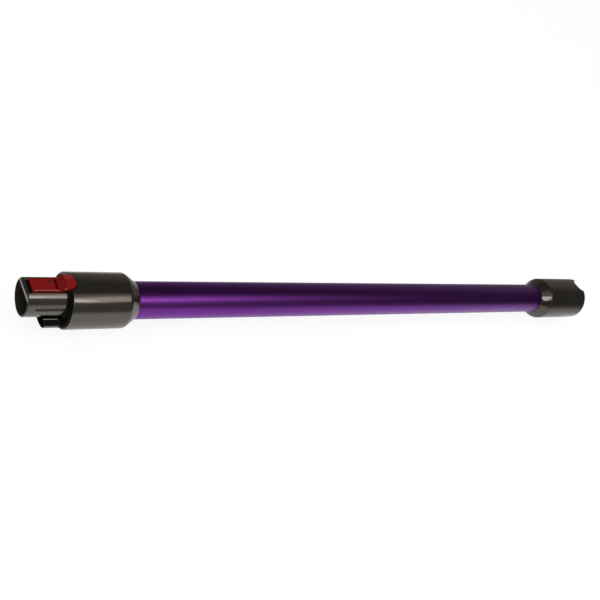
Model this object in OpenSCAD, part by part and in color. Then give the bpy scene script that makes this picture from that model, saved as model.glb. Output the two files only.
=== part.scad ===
// Quick-release extension wand for a cordless stick vacuum.
// X runs along the wand from the spigot's mouth to the cuff's rim. Z points to the release button.
// The origin is on the spigot's axis at its mouth. The tube's axis lies below it by axis_drop.

/* [Tube] */
// Outside diameter of the aluminium tube
tube_od = 36; // [34:0.5:38]
// Wall of the aluminium tube
tube_wall = 1.2; // [1:0.1:1.5]
// Length of the aluminium tube, ends hidden in the collars included
tube_len = 648; // [300:1:900]
// How far the tube's axis lies below the spigot's axis
axis_drop = 4.8; // [4.4:0.1:5.2]

/* [Coupling] */
// Outside diameter of the spigot
spigot_od = 35; // [34:0.1:36]
// Length of the spigot in front of the collar's rim
spigot_len = 38; // [36:0.5:42]
// Wall of the spigot and of the air passages behind it
passage_wall = 1.5; // [1.2:0.1:1.8]
// Height of the keying flat above the spigot's axis
flat_h = 12.9; // [12.6:0.1:13.2]
// Width of the keyway whose floor is the keying flat
key_w = 20; // [18.5:0.5:21]
// Depth from the keying flat down to the air passage
key_depth = 5.9; // [5.5:0.1:6.2]
// Radial clearance of the socket's bore around a spigot
socket_gap = 0.1; // [0.05:0.01:0.2]
// Wall of the socket's bore
socket_wall = 1.4; // [1.2:0.1:1.6]

/* [Collar and cuff] */
// How far the collar and the cuff stand out around the tube
collar_step = 8.1; // [7.6:0.1:9]
// Wall of the collar and the cuff
collar_wall = 2; // [1.6:0.1:2.2]
// Length of the collar's cylinder
collar_len = 56.5; // [50:0.5:70]
// How far the cuff's cylinder runs on behind the bottom of its socket
cuff_back = 33.5; // [30:0.5:50]
// Length of the cones that run down to the tube
cone_len = 11.5; // [9:0.5:16]
// Radius that rounds the step from cylinder to cone
shoulder_r = 6; // [3:0.5:9]
// Rounding of the rims
rim_round = 0.8; // [0.4:0.1:1]

/* [Release catch] */
// Width of the catch's tongue
catch_w = 15; // [13:0.5:16]
// Height of the tongue's top above the spigot's axis
catch_top = 15.7; // [15.5:0.1:16]
// Distance from the mouth to the tongue's front end
catch_front = 4.5; // [4:0.1:6]
// Distance from the mouth to the hook's working face
hook_x = 20; // [18:0.5:21]
// Length of the keeper slot behind the hook
keeper_slot = 8.3; // [8:0.1:9]
// Width of the button's pad
pad_w = 17.6; // [17:0.2:19]
// How far the pad reaches into the collar's rim
pad_reach = 5; // [4:0.5:7]
// Distance from the collar's rim back to the hinge pin
hinge_back = 20; // [19.5:0.1:20.5]
// Height of the hinge pin above the spigot's axis
hinge_z = 15.4; // [15.3:0.1:15.6]
// Diameter of the hinge pin
hinge_pin_d = 2.5; // [2:0.1:2.6]
// Wire diameter of the catch's spring
spring_wire = 0.6; // [0.4:0.05:0.7]
// Coil diameter of the catch's spring, middle of the wire
spring_coil = 5.2; // [4.6:0.1:5.4]

/* [Connector] */
// Width of the crescent nose under the spigot
nose_w = 37; // [34:0.5:39]
// Lean of the nose's two ends, in degrees
nose_lean = 26; // [10:1:35]
// Radius of the nose's lower corners
nose_corner = 3; // [2:0.5:5]
// Height from the spigot's axis down to the nose's upper edges
nose_top = 12.2; // [11.9:0.1:13]
// Gap between the spigot and the nose
nose_gap = 2; // [1.9:0.05:2.2]
// Distance from the mouth to the nose's upper front edge
nose_tip = 18.3; // [17:0.1:22]
// Sideways distance between the two contacts
contact_pitch = 14; // [12:0.5:15]
// Height from the spigot's axis down to the contacts
contact_drop = 22.6; // [22.2:0.1:23]
// Diameter of a contact pin
contact_d = 2.2; // [1.8:0.1:2.4]
// Outside diameter of an insulated wire
wire_d = 2.6; // [2:0.1:2.8]

/* [Hidden] */

// Facets of the swept and hulled shapes, and of the true round ones
hull_n = 48;
round_n = 96;
// Running clearances: a slip fit, a loose one, and a moving part's
slip = 0.1;
loose = 0.4;
play = 0.5;
// How far a shroud's ends stand inside the walls that they run into
inset = 0.13;

spigot_r = spigot_od / 2;
bore_r = spigot_r - passage_wall;
inner_flat = flat_h - key_depth;
tube_r = tube_od / 2;
tube_bore_r = tube_r - tube_wall;
tail_r = tube_bore_r - slip;
tail_bore_r = tail_r - passage_wall;
collar_r = tube_r + collar_step;
shell_r = collar_r - collar_wall;
disc_r = shell_r - slip;

// Where the parts stand along the wand, from either mouth: the two ends share these
block_room = 17.5;
flange_x = spigot_len + block_room;
flange_t = 3;
stop_t = 2;
gasket_t = 1.5;
tube_x = flange_x + flange_t + stop_t + gasket_t;
tail_len = 22;
rivet_back = 11;
rivet_x = tube_x + rivet_back;
rivet_r = 1.6;
// The cuff's rim stands where the mating collar's rim would, one spigot length from the seal
total_len = tube_x + tube_len + tube_x;

// The socket takes a copy of this wand's own spigot end
socket_r = spigot_r + socket_gap;
socket_flat = flat_h + 0.3;
// Half width of the rib in the socket that runs in the spigot's keyway
key_half = key_w / 2 - 0.3;
// Slope at the keyway's front: its length along the wand and its height
lead_len = 1.1;
lead_h = 2;
socket_face = 3.6;
socket_depth = spigot_len;
seal_t = 2;
keeper_x = spigot_len - hook_x - keeper_slot + 0.3;
keeper_len = keeper_slot - 0.6;
notch_depth = 10;
cuff_len = spigot_len + cuff_back;

// The wiring duct takes the bottom of the tube
duct_t = 1.2;
duct_depth = 9.8;
duct_top = axis_drop + duct_depth;
duct_x = flange_x + flange_t + 0.2;
wire_z = duct_top + duct_t + wire_d / 2 + 0.4;
wire_y = wire_d * 1.2;
wire_floor = contact_drop - 0.4;

trough_floor = inner_flat + 1.3;
trough_x = 2.2;
trough_w = catch_w + 2 * play;
trough_end = spigot_len + 5.5;
// Parting grooves: height, depth, height of their middle, and where they start
groove_h = 2;
groove_deep = 0.8;
groove_z = 2.3;
groove_x = 7;
// Full travel of the catch in degrees, and its front ramp
press_deg = 4.2;
pad_rear = spigot_len + pad_reach;
hinge_x = spigot_len + hinge_back;
ramp_back = 9.5;
ramp_x = hook_x + ramp_back;
ramp_slope = 0.79;
// Depth of the catch's web under its button's top, and the gap round the button
pad_sink = 1.6;
pad_gap = 0.7;
web_top = collar_r - axis_drop - pad_sink;
boss_r = hinge_pin_d / 2 + 1;
arm_w = 9;
arm_x = pad_rear - 4.8;
ear_t = 2.5;
ear_y = (arm_w + ear_t) / 2 + 0.35;
spring_x = pad_rear - 7;
spring_top = catch_top + 1.3;

nose_r = shell_r - slip;
nose_in_r = spigot_r + nose_gap;
nose_rake = 0.2;
bulkhead_x = spigot_len - 1.6;
bulkhead_t = 3.6;
bulkhead_boss = 1.8;
plug_len = 12;
plug_rear = spigot_len + plug_len;
cover_t = 1.5;
contact_r = contact_d / 2 + 1.1;
contact_x = nose_tip + nose_rake * (contact_drop - nose_top) + 2;
crimp_len = 6.5;
crimp_r = 1.6;
crimp_end = plug_rear - 1.5;
crimp_x = crimp_end - crimp_len;
pin_seat = contact_d / 2 + 0.2;
pin_wall = 3;
receptacle_x = 22;
receptacle_rear = spigot_len + 2;
pin_tip = 8;
screw_r = 1.2;
screw_head_r = 2.1;
screw_grip = 8;
// The screws stand around the stop ring, clear of it
screw_ring = tube_r + screw_head_r + 0.33;
screw_deg = 49.8;
screw_y = screw_ring * cos(screw_deg);
screw_z = axis_drop + screw_ring * sin(screw_deg);
screw_head_t = 1.7;
head_x = flange_x + flange_t;

gunmetal = [0.27, 0.26, 0.24];
purple = [0.33, 0.12, 0.46];
red = [0.68, 0.08, 0.1];
black = [0.05, 0.05, 0.055];
brass = [0.8, 0.66, 0.35];
steel = [0.7, 0.7, 0.72];

// Points of an arc about [cx, cy]
function arc(cx, cy, r, a0, a1, n = 6) =
    [for (k = [0:n]) [cx + r * cos(a0 + (a1 - a0) * k / n), cy + r * sin(a0 + (a1 - a0) * k / n)]];

// A 2D shape in Y and Z, drawn out along X
module along(x, len) translate([x, 0, 0]) rotate([90, 0, 90]) linear_extrude(len) children();

// A 2D shape in X and Z, drawn out evenly to both sides
module across(w) translate([0, w / 2, 0]) rotate([90, 0, 0]) linear_extrude(w) children();

// A profile of radius and X, turned about the spigot's axis or the tube's
module lathe(drop = 0) translate([0, 0, -drop]) rotate([0, 90, 0]) rotate_extrude($fn = round_n) children();

// Puts a part of the cuff end, drawn from its own mouth inwards, in place
module at_cuff_end() translate([total_len, 0, 0]) mirror([1, 0, 0]) children();

module half_below(z, r) translate([-2 * r, z - 4 * r]) square([4 * r, 4 * r]);
module half_above(z, r) translate([-2 * r, z]) square([4 * r, 4 * r]);

// Round section with a flat on its button side
module d_section(r, flat) intersection() {
    circle(r, $fn = round_n);
    half_below(flat, r);
}

// Round section with a keyway cut across its button side, down to the flat
module keyed_section(r, flat, half) difference() {
    circle(r, $fn = round_n);
    translate([-half, flat]) square([2 * half, 2 * r]);
}

// Air passage where it meets the tube: round, with a floor above the wiring duct
module tube_section(r, floor_z) intersection() {
    translate([0, -axis_drop]) circle(r, $fn = round_n);
    half_above(-floor_z, r);
}

// The crescent between a spigot and the shell around it: its ends lean, and their lower corners are round
module crescent(grow = 0) {
    middle_y = nose_w / 2 - nose_corner;
    turn = asin(middle_y / (nose_r - nose_corner));
    middle_z = -axis_drop - (nose_r - nose_corner) * cos(turn);
    // The corner stops a little short of the shell's curve, and runs out through it along its tangent
    last = turn - 82;
    corner = arc(middle_y, middle_z, nose_corner + grow, nose_lean, last, 8);
    top_z = grow - nose_top;
    top_y = corner[0][0] - (top_z - corner[0][1]) * tan(nose_lean);
    foot_z = corner[8][1] + corner[8][0] * cos(last) / sin(last);
    half = concat([[top_y, top_z]], corner);
    difference() {
        intersection() {
            translate([0, -axis_drop]) circle(nose_r + min(grow, slip), $fn = round_n);
            polygon(concat(half, [[0, foot_z]],
                [for (k = [len(half) - 1:-1:0]) [-half[k][0], half[k][1]]]));
        }
        circle(nose_in_r - grow, $fn = round_n);
    }
}

// Walls of the air passage from a round mouth to the tube's end, set in a little at both ends
module shroud_skin(x0, r, flat, r_end, floor_z) hull() {
    along(x0, 0.01) intersection() {
        circle(r - inset, $fn = hull_n);
        half_below(flat - inset, r);
    }
    along(flange_x + flange_t - 0.01, 0.01) intersection() {
        translate([0, -axis_drop]) circle(r_end - 1.5 * inset, $fn = hull_n);
        half_above(inset - floor_z, r_end);
    }
}

// The air passage itself, from a mouth at x0 to the shroud behind x1
module air_passage(x0, x1) {
    along(x0, x1 - x0 + inset) d_section(bore_r, inner_flat);
    shroud_skin(x1 - 0.3, bore_r, inner_flat, tail_bore_r, duct_top);
}

// Back of either moulding: flange, stop ring and the tail that plugs into the tube
module tube_end_solid() {
    along(flange_x, flange_t) translate([0, -axis_drop]) circle(disc_r, $fn = round_n);
    along(flange_x, flange_t + stop_t) translate([0, -axis_drop]) circle(tube_r, $fn = round_n);
    along(tube_x - gasket_t - 1, tail_len + gasket_t + 1) tube_section(tail_r, duct_top - slip);
    for (s = [-1, 1])
        translate([plug_rear + cover_t, s * screw_y, -screw_z]) rotate([0, 90, 0])
            cylinder(r = 2.5, h = flange_x - plug_rear - cover_t + 0.5, $fn = 32);
}

module tube_end_cuts() {
    along(flange_x + flange_t - 0.4, stop_t + gasket_t + tail_len + 5) tube_section(tail_bore_r, duct_top);
    // Room for the wires and the duct
    along(flange_x - 1, flange_t + 1.3) translate([-contact_pitch / 2, -wire_floor])
        square([contact_pitch, wire_floor - duct_top - 1.4]);
    along(duct_x - 0.1, stop_t + gasket_t + 2) intersection() {
        translate([0, -axis_drop]) circle(tail_r, $fn = round_n);
        half_below(-duct_top + slip, tail_r);
    }
    rivet_hole(rivet_x);
    for (s = [-1, 1])
        translate([plug_rear, s * screw_y, -screw_z]) rotate([0, 90, 0])
            cylinder(r = screw_r, h = 2 * block_room, $fn = 32);
}

module rivet_hole(x) translate([x, 0, -axis_drop]) rotate([90, 0, 0])
    cylinder(r = rivet_r, h = 3 * tube_r, center = true, $fn = 32);

module wand_tube() color(purple) difference() {
    along(tube_x, tube_len) difference() {
        translate([0, -axis_drop]) circle(tube_r, $fn = round_n);
        translate([0, -axis_drop]) circle(tube_bore_r, $fn = round_n);
    }
    for (x = [rivet_x, total_len - rivet_x]) rivet_hole(x);
}

module wire_duct() color(black) along(duct_x, total_len - 2 * duct_x) difference() {
    intersection() {
        translate([0, -axis_drop]) circle(tail_r - 0.05, $fn = round_n);
        half_below(-duct_top, tube_r);
    }
    intersection() {
        translate([0, -axis_drop]) circle(tail_r - duct_t, $fn = round_n);
        half_below(-duct_top - duct_t, tube_r);
    }
}

// One insulated wire from its plug contact, through the duct, to its contact pin
module wire(side) {
    sides = 10;
    contact_y = side * contact_pitch / 2;
    run = [
        [crimp_end, contact_y, -contact_drop],
        [plug_rear + cover_t + 0.5, contact_y, -contact_drop],
        [flange_x + flange_t, side * wire_y, -wire_z],
        [total_len - flange_x - flange_t, side * wire_y, -wire_z],
        [total_len - receptacle_rear - cover_t - 2.5, contact_y, -contact_drop],
        [total_len - receptacle_rear + 2, contact_y, -contact_drop]
    ];
    polyhedron(
        points = [for (p = run, j = [0:sides - 1])
            p + wire_d / 2 * [0, cos(360 * j / sides), sin(360 * j / sides)]],
        faces = concat(
            [[for (j = [0:sides - 1]) j]],
            [for (k = [0:len(run) - 2], j = [0:sides - 1]) let (i = k * sides, j2 = (j + 1) % sides)
                [i + j, i + sides + j, i + sides + j2, i + j2]],
            [[for (j = [sides - 1:-1:0]) (len(run) - 1) * sides + j]]));
}

module positive_wire() color(red) wire(-1);
module negative_wire() color(black) wire(1);

module spigot() color(gunmetal) difference() {
    union() {
        intersection() {
            lathe() polygon([[0, 0], [spigot_r - 0.6, 0], [spigot_r, 0.6],
                [spigot_r, spigot_len + 4], [0, spigot_len + 4]]);
            along(-1, 2 * spigot_len) keyed_section(2 * spigot_r, flat_h, key_w / 2);
        }
        shroud_skin(spigot_len + 3.6, spigot_r, flat_h, tail_r, duct_top + 1.3);
        difference() {
            tube_end_solid();
            // The flange and the ring stand clear of the catch's arm
            along(flange_x - 1, flange_t + stop_t + 1.1)
                translate([-catch_w / 2, hinge_z - boss_r - play]) square([catch_w, collar_r]);
        }
        for (s = [-1, 1]) hinge_ear(s);
    }
    air_passage(-1, spigot_len + 3);
    tube_end_cuts();
    // Slope on the keyway's front edge, which leads a keeper over it
    across(key_w) polygon([[-lead_len, flat_h - 2 * lead_h], [lead_len, flat_h],
        [lead_len, flat_h + spigot_r], [-lead_len, flat_h + spigot_r]]);
    // Trough in which the catch lies
    translate([trough_x, -trough_w / 2, trough_floor]) cube([trough_end - trough_x, trough_w, 2 * spigot_r]);
    // Parting grooves along both sides, round at the front
    for (s = [-1, 1]) translate([groove_x + groove_h / 2, s * spigot_r, groove_z]) {
        translate([0, -groove_deep, -groove_h / 2])
            cube([spigot_len - groove_x, 2 * groove_deep, groove_h]);
        rotate([90, 0, 0]) cylinder(r = groove_h / 2, h = 2 * groove_deep, center = true, $fn = 32);
    }
    translate([hinge_x, 0, hinge_z]) rotate([90, 0, 0])
        cylinder(r = hinge_pin_d / 2, h = 2 * pad_w, center = true, $fn = 48);
}

// One of the two ears that carry the catch's hinge pin
module hinge_ear(side) translate([0, side * ear_y, 0]) across(ear_t)
    polygon(concat(arc(hinge_x, hinge_z, boss_r, 180, 0, 10),
        [[hinge_x + boss_r, hinge_z - 6], [hinge_x - boss_r, hinge_z - 6]]));

// Shell profile of the collar or cuff: radius first, then the distance from its rim
function shell_profile(len) = let (
        drop = collar_r - tube_r - 0.4,
        lean = atan2(drop, cone_len),
        t = shoulder_r * tan(lean / 2),
        outer = [for (p = arc(len - t, collar_r - shoulder_r, shoulder_r, 90, 90 - lean, 6)) [p[1], p[0]]],
        rim = [for (p = arc(rim_round, collar_r - rim_round, rim_round, 180, 90, 5)) [p[1], p[0]]]
    ) concat([[shell_r, 0.3], [shell_r + 0.3, 0]], rim, outer, [[tube_r + 0.4, len + cone_len],
        [tube_r + slip, len + cone_len], [tube_r + slip, len + cone_len - 4], [shell_r, len - 1.5]]);

// The button's outline seen from above, grown by g
module pad_plan(g) {
    w = pad_w / 2 + g;
    r = pad_rear + g;
    polygon([[ramp_x - 0.5, -w], [r - 3.2, -w], [r - 0.4, -w * 0.66], [r, -w * 0.4],
        [r, w * 0.4], [r - 0.4, w * 0.66], [r - 3.2, w], [ramp_x - 0.5, w]]);
}

module collar() color(gunmetal) difference() {
    translate([spigot_len, 0, 0]) lathe(axis_drop) polygon(shell_profile(collar_len));
    translate([0, 0, spigot_r * 0.6]) linear_extrude(collar_r) pad_plan(pad_gap);
}

// The round front of the plug: a disc around the spigot and the nose below it
module plug_housing() color(black) difference() {
    union() {
        along(bulkhead_x, bulkhead_t) difference() {
            translate([0, -axis_drop]) circle(disc_r, $fn = round_n);
            circle(spigot_r + 0.05, $fn = round_n);
        }
        // Raised ring around the spigot's root
        lathe() translate([spigot_r, bulkhead_x]) polygon([[0.05, -bulkhead_boss], [0.9, -bulkhead_boss],
            [bulkhead_boss, 0.9 - bulkhead_boss], [bulkhead_boss, 0.1], [0.05, 0.1]]);
        intersection() {
            along(nose_tip, plug_rear - nose_tip) crescent();
            across(2 * nose_w) translate([0, -nose_top])
                polygon([[nose_tip, 0], [plug_rear, 0], [plug_rear, -nose_w],
                    [nose_tip + nose_w * nose_rake, -nose_w]]);
        }
    }
    // Slot for the catch and its button
    translate([0, -trough_w / 2 - 0.4, 0]) cube([plug_rear, trough_w + 0.8, collar_r]);
    translate([0, -pad_w / 2 - 0.7, spigot_r * 0.84]) cube([plug_rear, pad_w + 1.4, collar_r]);
    for (s = [-1, 1]) {
        translate([nose_tip - 1, s * contact_pitch / 2, -contact_drop]) rotate([0, 90, 0])
            cylinder(r = contact_d / 2 + 0.4, h = plug_rear, $fn = 32);
        translate([contact_x, s * contact_pitch / 2, -contact_drop]) rotate([0, 90, 0])
            cylinder(r = contact_r + 0.05, h = plug_rear, $fn = 32);
        translate([plug_rear - screw_grip - 2, s * screw_y, -screw_z]) rotate([0, 90, 0])
            cylinder(r = screw_r, h = 2 * screw_grip, $fn = 32);
    }
}

// Plate behind either connector block: it keeps the contacts in
module rear_plate(x) along(x, cover_t) difference() {
    crescent();
    for (s = [-1, 1]) {
        translate([s * contact_pitch / 2, -contact_drop]) circle(wire_d / 2 + 0.1, $fn = 32);
        translate([s * screw_y, -screw_z]) circle(screw_r, $fn = 32);
    }
}

module plug_cover() color(black) rear_plate(plug_rear);

// Sleeve that grips a mating pin, with its crimped tail
module plug_contact(side) translate([0, side * contact_pitch / 2, -contact_drop]) lathe()
    polygon([[contact_d / 2 + 0.05, contact_x], [contact_r, contact_x], [contact_r, crimp_x - 1],
        [crimp_r, crimp_x], [crimp_r, crimp_end], [0, crimp_end], [0, crimp_x - 2],
        [contact_d / 2 + 0.05, crimp_x - 2]]);

module plug_contact_left() color(brass) plug_contact(-1);
module plug_contact_right() color(brass) plug_contact(1);

// Self-tapping screws that clamp the connector block to the moulding's flange
module block_screws(x0) for (s = [-1, 1]) translate([0, s * screw_y, -screw_z]) difference() {
    lathe() polygon([[0, x0], [screw_r, x0 + 1.5], [screw_r, head_x], [screw_head_r, head_x],
        [screw_head_r, head_x + screw_head_t - 0.4], [screw_head_r - 0.4, head_x + screw_head_t],
        [0, head_x + screw_head_t]]);
    translate([head_x + screw_head_t - 0.8, 0, 0]) {
        cube([2, 2.4, 0.6], center = true);
        cube([2, 0.6, 2.4], center = true);
    }
}

module plug_screws() color(steel) block_screws(plug_rear - screw_grip);

// Underside of the catch at x: pressed home, it still clears the trough's floor
function underside(x) = trough_floor + (hinge_x - x) * tan(press_deg) + 0.2;

// The red catch: tongue with hook and keeper slot, ramp, thumb pad, and the arm to its hinge
module release_catch() color(red) difference() {
    union() {
        across(catch_w) polygon([[catch_front, underside(catch_front)], [catch_front, catch_top - 0.8],
            [catch_front + 0.8, catch_top], [ramp_x, catch_top],
            [ramp_x + ramp_slope * (web_top - catch_top), web_top], [arm_x, web_top],
            [arm_x, underside(arm_x)]]);
        catch_pad();
        // Arm to the hinge boss
        across(arm_w) polygon([[arm_x - 1, underside(arm_x)], [arm_x - 1, web_top],
            [arm_x + 3, web_top], [arm_x + 3, hinge_z + 1.5], [hinge_x, hinge_z + 1.5],
            [hinge_x, hinge_z - 1], [arm_x + 3, hinge_z - 1], [arm_x + 0.5, underside(arm_x)]]);
        translate([hinge_x, 0, hinge_z]) rotate([90, 0, 0])
            cylinder(r = boss_r, h = arm_w, center = true, $fn = 48);
    }
    // Slot for the mating socket's keeper
    translate([hook_x, -catch_w / 2 + 1.6, flat_h - 0.2]) cube([keeper_slot, catch_w - 3.2, collar_r]);
    // Hollow under the hook
    translate([catch_front + 1.8, -catch_w / 2 + 1.6, 0])
        cube([hook_x - catch_front - 3.6, catch_w - 3.2, catch_top - 1.8]);
    // Spring seat
    translate([spring_x, 0, 0]) cylinder(r = spring_coil / 2 + spring_wire, h = spring_top, $fn = 48);
    translate([hinge_x, 0, hinge_z]) rotate([90, 0, 0])
        cylinder(r = hinge_pin_d / 2 + 0.05, h = 2 * arm_w, center = true, $fn = 48);
}

// Thumb pad: crowned to the collar's own curve, with a ramp in front
module catch_pad() intersection() {
    translate([0, 0, flat_h]) linear_extrude(collar_r) pad_plan(0);
    along(hook_x, pad_rear) translate([0, -axis_drop]) difference() {
        circle(collar_r - 0.1, $fn = round_n);
        circle(collar_r - 2.5, $fn = round_n);
    }
    across(2 * pad_w) polygon([[ramp_x, catch_top], [ramp_x + ramp_slope * 8, catch_top + 8],
        [pad_rear + 1, catch_top + 8], [pad_rear + 1, catch_top - 3], [ramp_x, catch_top - 3]]);
}

module catch_pin() color(steel) translate([hinge_x, 0, hinge_z]) rotate([90, 0, 0])
    cylinder(r = hinge_pin_d / 2, h = 2 * ear_y + ear_t - 0.3, center = true, $fn = 48);

// Compression spring between the trough's floor and the button
module catch_spring() color(steel) {
    turns = 6;
    steps = 16;
    sides = 6;
    z0 = trough_floor + spring_wire / 2;
    z1 = spring_top - spring_wire / 2;
    n = turns * steps;
    ring = [for (k = [0:n]) let (
            a = 360 * k / steps,
            t = k / n,
            z = z0 + (z1 - z0) * (t < 0.1 ? 0 : t > 0.9 ? 1 : (t - 0.1) / 0.8)
        ) for (j = [0:sides - 1]) let (b = 360 * j / sides, q = spring_coil / 2 + spring_wire / 2 * cos(b))
            [spring_x + q * cos(a), q * sin(a), z + spring_wire / 2 * sin(b)]];
    polyhedron(points = ring, convexity = 8, faces = concat(
        [[for (j = [0:sides - 1]) j]],
        [for (k = [0:n - 1], j = [0:sides - 1]) let (j2 = (j + 1) % sides)
            [k * sides + j, (k + 1) * sides + j, (k + 1) * sides + j2, k * sides + j2]],
        [[for (j = [sides - 1:-1:0]) n * sides + j]]));
}

// Rubber ring between a moulding's stop and the tube's end
module tube_gasket() along(tube_x - gasket_t, gasket_t) difference() {
    translate([0, -axis_drop]) circle(tube_r, $fn = round_n);
    translate([0, -axis_drop]) circle(tube_bore_r - 0.05, $fn = round_n);
}

module spigot_gasket() color(black) tube_gasket();
module socket_gasket() color(black) at_cuff_end() tube_gasket();

// Rivets through the tube and the tail inside it
module tube_rivets() for (s = [-1, 1]) translate([rivet_x, 0, -axis_drop]) rotate([-90 * s, 0, 0]) {
    translate([0, 0, tail_bore_r - 0.8]) cylinder(r = rivet_r, h = tube_r - tail_bore_r + 0.8, $fn = 32);
    translate([0, 0, tube_r]) cylinder(r1 = rivet_r + 1.2, r2 = rivet_r + 0.2, h = 0.9, $fn = 32);
}

module spigot_rivets() color(steel) tube_rivets();
module socket_rivets() color(steel) at_cuff_end() tube_rivets();

// Moulding inside the cuff: it takes a spigot like the one at the other end
module socket() color(black) at_cuff_end() difference() {
    union() {
        along(socket_face, 2.6) translate([0, -axis_drop]) circle(disc_r, $fn = round_n);
        along(socket_face, socket_depth + 6 - socket_face)
            keyed_section(socket_r + socket_wall, socket_flat + socket_wall, key_half - socket_wall);
        shroud_skin(socket_depth + 5.6, socket_r + socket_wall, socket_flat + socket_wall,
            tail_r, duct_top + 1.3);
        tube_end_solid();
    }
    along(0, socket_depth) keyed_section(socket_r, socket_flat, key_half);
    along(socket_depth - 0.1, seal_t + 0.1) d_section(socket_r, socket_flat);
    air_passage(socket_depth, socket_depth + 5);
    tube_end_cuts();
    // Room for the mating nose and for the connector block behind it
    along(0, receptacle_rear) crescent(slip);
    // Room for the mating button, then the keeper, then the window that the hook springs into
    button_notch();
    translate([keeper_x + keeper_len, -trough_w / 2 - 0.3, inner_flat])
        cube([hook_x - catch_front + 2, trough_w + 0.6, socket_flat + socket_wall]);
}

// Round notch in the cuff's rim, where the mating button comes to lie
module button_notch() translate([0, 0, spigot_r * 0.5]) cylinder(r = notch_depth, h = collar_r, $fn = 64);

module cuff() color(gunmetal) at_cuff_end() difference() {
    lathe(axis_drop) polygon(shell_profile(cuff_len));
    button_notch();
}

// Rubber face seal at the bottom of the socket, which the mating spigot's mouth presses on
module socket_seal() color(black) at_cuff_end() along(socket_depth, seal_t) difference() {
    d_section(socket_r - 0.05, socket_flat - 0.05);
    d_section(bore_r, inner_flat);
}

// Block that holds the two contact pins at the bottom of the crescent pocket
module receptacle_housing() color(black) at_cuff_end() difference() {
    along(receptacle_x, receptacle_rear - receptacle_x) crescent();
    for (s = [-1, 1]) {
        translate([receptacle_x - 1, s * contact_pitch / 2, -contact_drop]) rotate([0, 90, 0])
            cylinder(r = pin_seat, h = pin_wall + 2, $fn = 32);
        translate([receptacle_x + pin_wall, s * contact_pitch / 2, -contact_drop]) rotate([0, 90, 0])
            cylinder(r = contact_r, h = spigot_len, $fn = 32);
        translate([receptacle_rear - screw_grip - 2, s * screw_y, -screw_z]) rotate([0, 90, 0])
            cylinder(r = screw_r, h = 2 * screw_grip, $fn = 32);
    }
}

module receptacle_cover() color(black) at_cuff_end() rear_plate(receptacle_rear);

// Round contact pin with a shoulder and a crimped tail
module contact_pin(side) at_cuff_end() translate([0, side * contact_pitch / 2, -contact_drop]) lathe()
    polygon([[0, pin_tip], [contact_d / 2 - 0.5, pin_tip], [contact_d / 2, pin_tip + 0.9],
        [contact_d / 2, receptacle_x], [pin_seat, receptacle_x], [pin_seat, receptacle_x + pin_wall],
        [contact_r, receptacle_x + pin_wall], [contact_r, receptacle_rear - crimp_len - 1.5],
        [crimp_r, receptacle_rear - crimp_len - 0.5], [crimp_r, receptacle_rear - 2],
        [0, receptacle_rear - 2]]);

module contact_pin_left() color(brass) contact_pin(-1);
module contact_pin_right() color(brass) contact_pin(1);

module receptacle_screws() color(steel) at_cuff_end() block_screws(receptacle_rear - screw_grip);

wand_tube();
wire_duct();
positive_wire();
negative_wire();
spigot();
collar();
plug_housing();
plug_cover();
plug_contact_left();
plug_contact_right();
plug_screws();
release_catch();
catch_pin();
catch_spring();
spigot_gasket();
spigot_rivets();
socket();
cuff();
socket_seal();
receptacle_housing();
receptacle_cover();
contact_pin_left();
contact_pin_right();
receptacle_screws();
socket_gasket();
socket_rivets();
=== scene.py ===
import math

import bmesh
import bpy
from mathutils import Matrix, Vector


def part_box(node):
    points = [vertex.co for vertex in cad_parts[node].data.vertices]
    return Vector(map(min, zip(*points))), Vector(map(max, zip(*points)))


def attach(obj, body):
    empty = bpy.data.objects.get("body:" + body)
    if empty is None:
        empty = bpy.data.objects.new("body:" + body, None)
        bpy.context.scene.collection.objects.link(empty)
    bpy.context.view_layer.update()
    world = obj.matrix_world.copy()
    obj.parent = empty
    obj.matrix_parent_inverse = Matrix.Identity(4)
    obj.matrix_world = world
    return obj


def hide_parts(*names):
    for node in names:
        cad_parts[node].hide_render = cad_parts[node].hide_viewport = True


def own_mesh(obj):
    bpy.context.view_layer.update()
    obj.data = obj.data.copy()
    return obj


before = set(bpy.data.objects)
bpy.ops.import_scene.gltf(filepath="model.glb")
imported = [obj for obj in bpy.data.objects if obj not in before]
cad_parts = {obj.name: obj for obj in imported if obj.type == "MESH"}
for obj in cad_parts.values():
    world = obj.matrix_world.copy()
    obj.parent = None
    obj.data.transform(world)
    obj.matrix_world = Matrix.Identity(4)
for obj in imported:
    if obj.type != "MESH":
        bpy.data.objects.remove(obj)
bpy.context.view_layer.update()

bl_info = {
    "name": "Vacuum Extension Wand",
    "version": (1, 0, 0),
    "blender": (4, 5, 0),
    "location": "View3D > Sidebar > Wand",
    "description": "Builds a quick-release vacuum wand: tube, spigot, latch, connector and cuff",
    "category": "Add Mesh",
}

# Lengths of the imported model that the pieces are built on, in metres.
SPIGOT_LEN = 0.038
TUBE_R = 0.018
TUBE_DROP = 0.0048  # How far the tube's axis lies under the spigot's
COLLAR_R = 0.0261
WAND_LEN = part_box("cuff")[1].x
FLOOR_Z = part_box("collar")[0].z
HINGE_X, HINGE_Z = 0.058, 0.0154
HINGE_TURN = math.radians(4.2)
CATCH_TOP = 0.0157
PAD_HALF = 0.0088  # Half the thumb pad's width
PAD_REAR = 0.0430
PAD_GAP = 0.0007  # Gap between the thumb pad and the collar
SPRING_X = 0.036

# The photograph's camera, as fitted.
CAMERA_AT = (-0.26838, -0.5263, 0.54033)
CAMERA_AHEAD = (0.60246, 0.55384, -0.57472)
CAMERA_UP = (0.00484, 0.71752, 0.69653)
CAMERA_LENS = 53.17


# Settings.


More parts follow.
